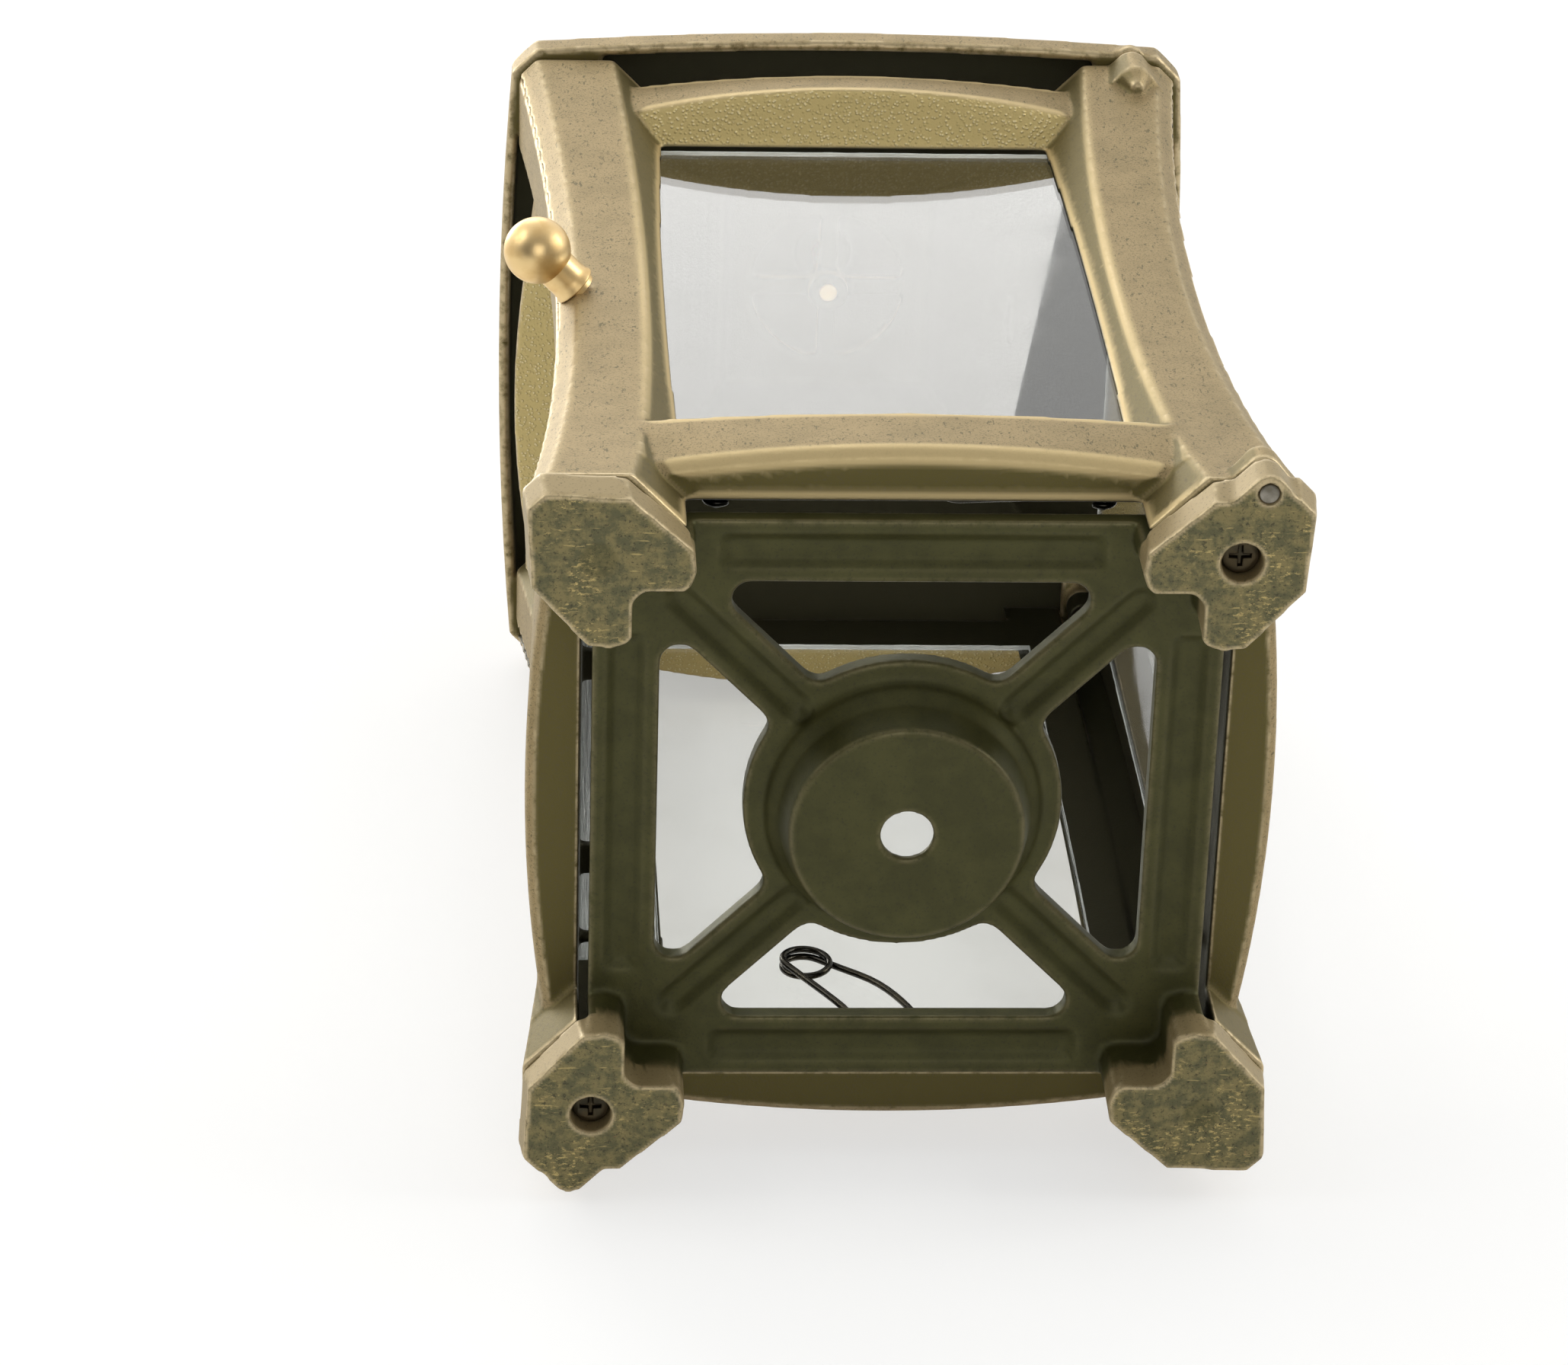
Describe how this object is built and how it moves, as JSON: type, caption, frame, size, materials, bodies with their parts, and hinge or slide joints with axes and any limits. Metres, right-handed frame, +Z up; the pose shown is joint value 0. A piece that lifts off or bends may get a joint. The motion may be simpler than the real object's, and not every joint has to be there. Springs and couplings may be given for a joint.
{
  "type": "candle lantern",
  "caption": "Square cast-metal candle lantern with waisted corner posts, glazed sides, a hinged glazed door, a footed base with a tealight cup, a vented roof and a carrying bail.",
  "frame": {"origin": "bottom centre of the lantern standing on its feet: on the floor, midway between the four feet", "axes": "+Z up; the glazed door faces -Y, its hinge is on the +X side and its knob on the -X side; the bail rests towards +Y"},
  "size_m": [0.147, 0.1498, 0.296],
  "materials": {
    "bronze": "cast, antique bronze coating, satin",
    "dark_bronze": "cast, dark antique bronze coating, worn at the feet",
    "gold_bronze": "satin gold bronze",
    "glass": "clear float glass, cut edges",
    "spring_wire": "blackened spring wire",
    "steel": "plain steel",
    "magnet": "nickel plated",
    "black_screw": "blackened steel"
  },
  "bodies": {
    "lantern": {"base_frame": "dark_bronze", "left_frame": "bronze", "right_frame": "bronze", "back_frame": "bronze", "left_pane": "glass", "right_pane": "glass", "back_pane": "glass", "left_clip": "spring_wire", "right_clip": "spring_wire", "back_clip": "spring_wire", "lower_hinge_pin": "steel", "upper_hinge_pin": "steel", "back_dowels": "steel", "back_screw": "steel", "catch_magnet": "magnet", "foot_screws": "black_screw", "roof_screws": "black_screw", "roof_shell": "bronze", "vent_cap": "bronze", "finial": "gold_bronze", "bail_rivets": "dark_bronze"},
    "door": {"door_frame": "bronze", "door_pane": "glass", "door_clip": "spring_wire", "door_knob": "gold_bronze", "knob_screw": "steel", "strike_disc": "steel"},
    "bail": {"bail": "dark_bronze"}
  },
  "joints": [
    {"name": "door_hinge", "type": "hinge", "parent": "lantern", "child": "door", "pos_m": [0.0598, -0.0692, 0], "axis": [0, 0, 1], "range_deg": [0, 110]},
    {"name": "bail_pivot", "type": "hinge", "parent": "lantern", "child": "bail", "pos_m": [0, 0, 0.252], "axis": [1, 0, 0], "range_deg": [0, 196]}
  ]
}
